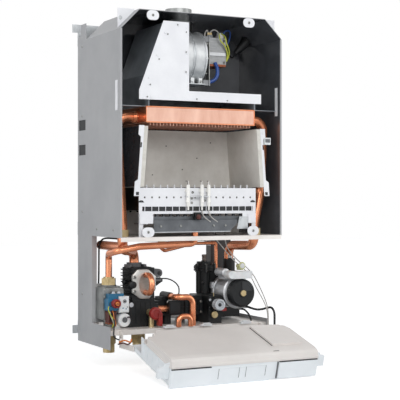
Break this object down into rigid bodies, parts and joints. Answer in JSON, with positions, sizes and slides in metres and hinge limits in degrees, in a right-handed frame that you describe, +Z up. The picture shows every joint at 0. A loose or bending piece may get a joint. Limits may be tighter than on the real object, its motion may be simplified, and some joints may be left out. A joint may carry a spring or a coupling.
{
  "type": "gas boiler",
  "caption": "Wall-hung gas boiler shown with its covers off: sealed chamber with fan, copper heat exchanger and burner above pipes and pump, and an electronics box that swings down.",
  "frame": {"origin": "on the wall plane, midway between the two hanging holes of the top rail", "axes": "+X to the right as seen from the front, +Y into the wall, +Z up"},
  "size_m": [0.426, 0.4431, 0.8132],
  "materials": {
    "side_channels": "satin",
    "lower_side_panels": "satin",
    "wall_frame": "galvanised",
    "chamber_sides": "satin",
    "chamber_top": "satin",
    "chamber_back": "gloss",
    "chamber_floor": "satin",
    "cover_lugs": "satin",
    "flue_spigot": "satin",
    "floor_grommets": "matte",
    "smoke_hood": "satin",
    "hood_front_plate": "satin",
    "fan_volute": "cast",
    "fan_motor": "satin",
    "fan_wheel": "satin",
    "exchanger_case": "satin copper",
    "exchanger_core": "satin copper",
    "flow_pipe": "drawn copper",
    "return_pipe": "drawn copper",
    "combustion_chamber": "satin",
    "ceramic_liner": "matte fibre",
    "burner_front_bar": "satin",
    "burner_blades": "satin",
    "gas_manifold": "satin",
    "electrodes": "glazed",
    "gas_pipe": "drawn copper",
    "gas_valve_body": "cast",
    "gas_valve_coils": "gloss",
    "brass_fittings": "satin",
    "diverter_block": "matte",
    "diverter_cover": "satin",
    "diverter_actuator": "matte",
    "diverter_spindle": "satin",
    "plate_heat_exchanger": "satin",
    "crossover_manifold": "matte",
    "bypass_pipes": "drawn copper",
    "filling_tap_knob": "satin",
    "pump_housing": "matte",
    "pump_motor": "satin",
    "pump_cap": "matte",
    "pump_vent_screw": "satin",
    "pump_rotor": "satin",
    "pump_terminal_box": "satin",
    "safety_valve_knob": "gloss",
    "expansion_vessel": "gloss",
    "connection_tray": "galvanised",
    "service_pipes": "satin",
    "control_box_panel": "satin",
    "control_box_lid": "satin",
    "circuit_board": "satin",
    "heating_knob": "satin",
    "hot_water_knob": "satin",
    "reset_button": "satin",
    "pump_cable": "matte",
    "pump_cable_two": "matte",
    "ignition_lead_one": "matte",
    "ignition_lead_two": "matte",
    "left_loom": "matte",
    "diverter_cable": "matte",
    "valve_cable": "matte"
  },
  "bodies": {
    "frame": {"side_channels": "side_channels", "lower_side_panels": "lower_side_panels", "wall_frame": "wall_frame", "chamber_sides": "chamber_sides", "chamber_top": "chamber_top", "chamber_back": "chamber_back", "chamber_floor": "chamber_floor", "cover_lugs": "cover_lugs", "flue_spigot": "flue_spigot", "floor_grommets": "floor_grommets", "smoke_hood": "smoke_hood", "hood_front_plate": "hood_front_plate", "fan_volute": "fan_volute", "fan_motor": "fan_motor", "exchanger_case": "exchanger_case", "exchanger_core": "exchanger_core", "flow_pipe": "flow_pipe", "return_pipe": "return_pipe", "combustion_chamber": "combustion_chamber", "ceramic_liner": "ceramic_liner", "burner_front_bar": "burner_front_bar", "burner_blades": "burner_blades", "gas_manifold": "gas_manifold", "electrodes": "electrodes", "gas_pipe": "gas_pipe", "gas_valve_body": "gas_valve_body", "gas_valve_coils": "gas_valve_coils", "brass_fittings": "brass_fittings", "diverter_block": "diverter_block", "diverter_cover": "diverter_cover", "diverter_actuator": "diverter_actuator", "plate_heat_exchanger": "plate_heat_exchanger", "crossover_manifold": "crossover_manifold", "bypass_pipes": "bypass_pipes", "pump_housing": "pump_housing", "pump_motor": "pump_motor", "pump_cap": "pump_cap", "pump_terminal_box": "pump_terminal_box", "expansion_vessel": "expansion_vessel", "connection_tray": "connection_tray", "service_pipes": "service_pipes", "pump_cable": "pump_cable", "pump_cable_two": "pump_cable_two", "ignition_lead_one": "ignition_lead_one", "ignition_lead_two": "ignition_lead_two", "left_loom": "left_loom", "diverter_cable": "diverter_cable", "valve_cable": "valve_cable"},
    "control_box": {"control_box_panel": "control_box_panel", "control_box_lid": "control_box_lid", "circuit_board": "circuit_board"},
    "heating_knob": {"heating_knob": "heating_knob"},
    "hot_water_knob": {"hot_water_knob": "hot_water_knob"},
    "reset_button": {"reset_button": "reset_button"},
    "fan_wheel": {"fan_wheel": "fan_wheel"},
    "pump_rotor": {"pump_rotor": "pump_rotor"},
    "filling_tap_knob": {"filling_tap_knob": "filling_tap_knob"},
    "safety_valve_knob": {"safety_valve_knob": "safety_valve_knob"},
    "pump_vent_screw": {"pump_vent_screw": "pump_vent_screw"},
    "diverter_spindle": {"diverter_spindle": "diverter_spindle"}
  },
  "joints": [
    {"name": "control_box_hinge", "type": "hinge", "parent": "frame", "child": "control_box", "pos_m": [0, -0.253, -0.691], "axis": [-1, 0, 0], "range_deg": [0, 105.95]},
    {"name": "heating_knob_turn", "type": "hinge", "parent": "control_box", "child": "heating_knob", "pos_m": [-0.08, -0.3436, -0.72334], "axis": [0, 0.2748, -0.9615], "range_deg": [-135, 135]},
    {"name": "hot_water_knob_turn", "type": "hinge", "parent": "control_box", "child": "hot_water_knob", "pos_m": [0.004, -0.3436, -0.72334], "axis": [0, 0.2748, -0.9615], "range_deg": [-135, 135]},
    {"name": "reset_button_push", "type": "slide", "parent": "control_box", "child": "reset_button", "axis": [0, -0.2748, 0.9615], "range_m": [0, 0.002], "stiffness_N_per_m": 300},
    {"name": "fan_spin", "type": "hinge", "parent": "frame", "child": "fan_wheel", "pos_m": [-0.004, -0.165, -0.05], "axis": [1, 0, 0], "continuous": true},
    {"name": "pump_spin", "type": "hinge", "parent": "frame", "child": "pump_rotor", "pos_m": [0.136, -0.13, -0.589], "axis": [0, -1, 0], "continuous": true},
    {"name": "filling_tap_turn", "type": "hinge", "parent": "frame", "child": "filling_tap_knob", "pos_m": [-0.082, -0.178, -0.627], "axis": [0, -1, 0], "range_deg": [0, 90]},
    {"name": "safety_valve_turn", "type": "hinge", "parent": "frame", "child": "safety_valve_knob", "pos_m": [0.078, -0.178, -0.614], "axis": [0, -1, 0], "range_deg": [0, 90]},
    {"name": "vent_screw_turn", "type": "hinge", "parent": "frame", "child": "pump_vent_screw", "pos_m": [0.136, -0.185, -0.589], "axis": [0, -1, 0], "range_deg": [0, 270]},
    {"name": "diverter_travel", "type": "slide", "parent": "frame", "child": "diverter_spindle", "axis": [1, 0, 0], "range_m": [0, 0.008]}
  ]
}
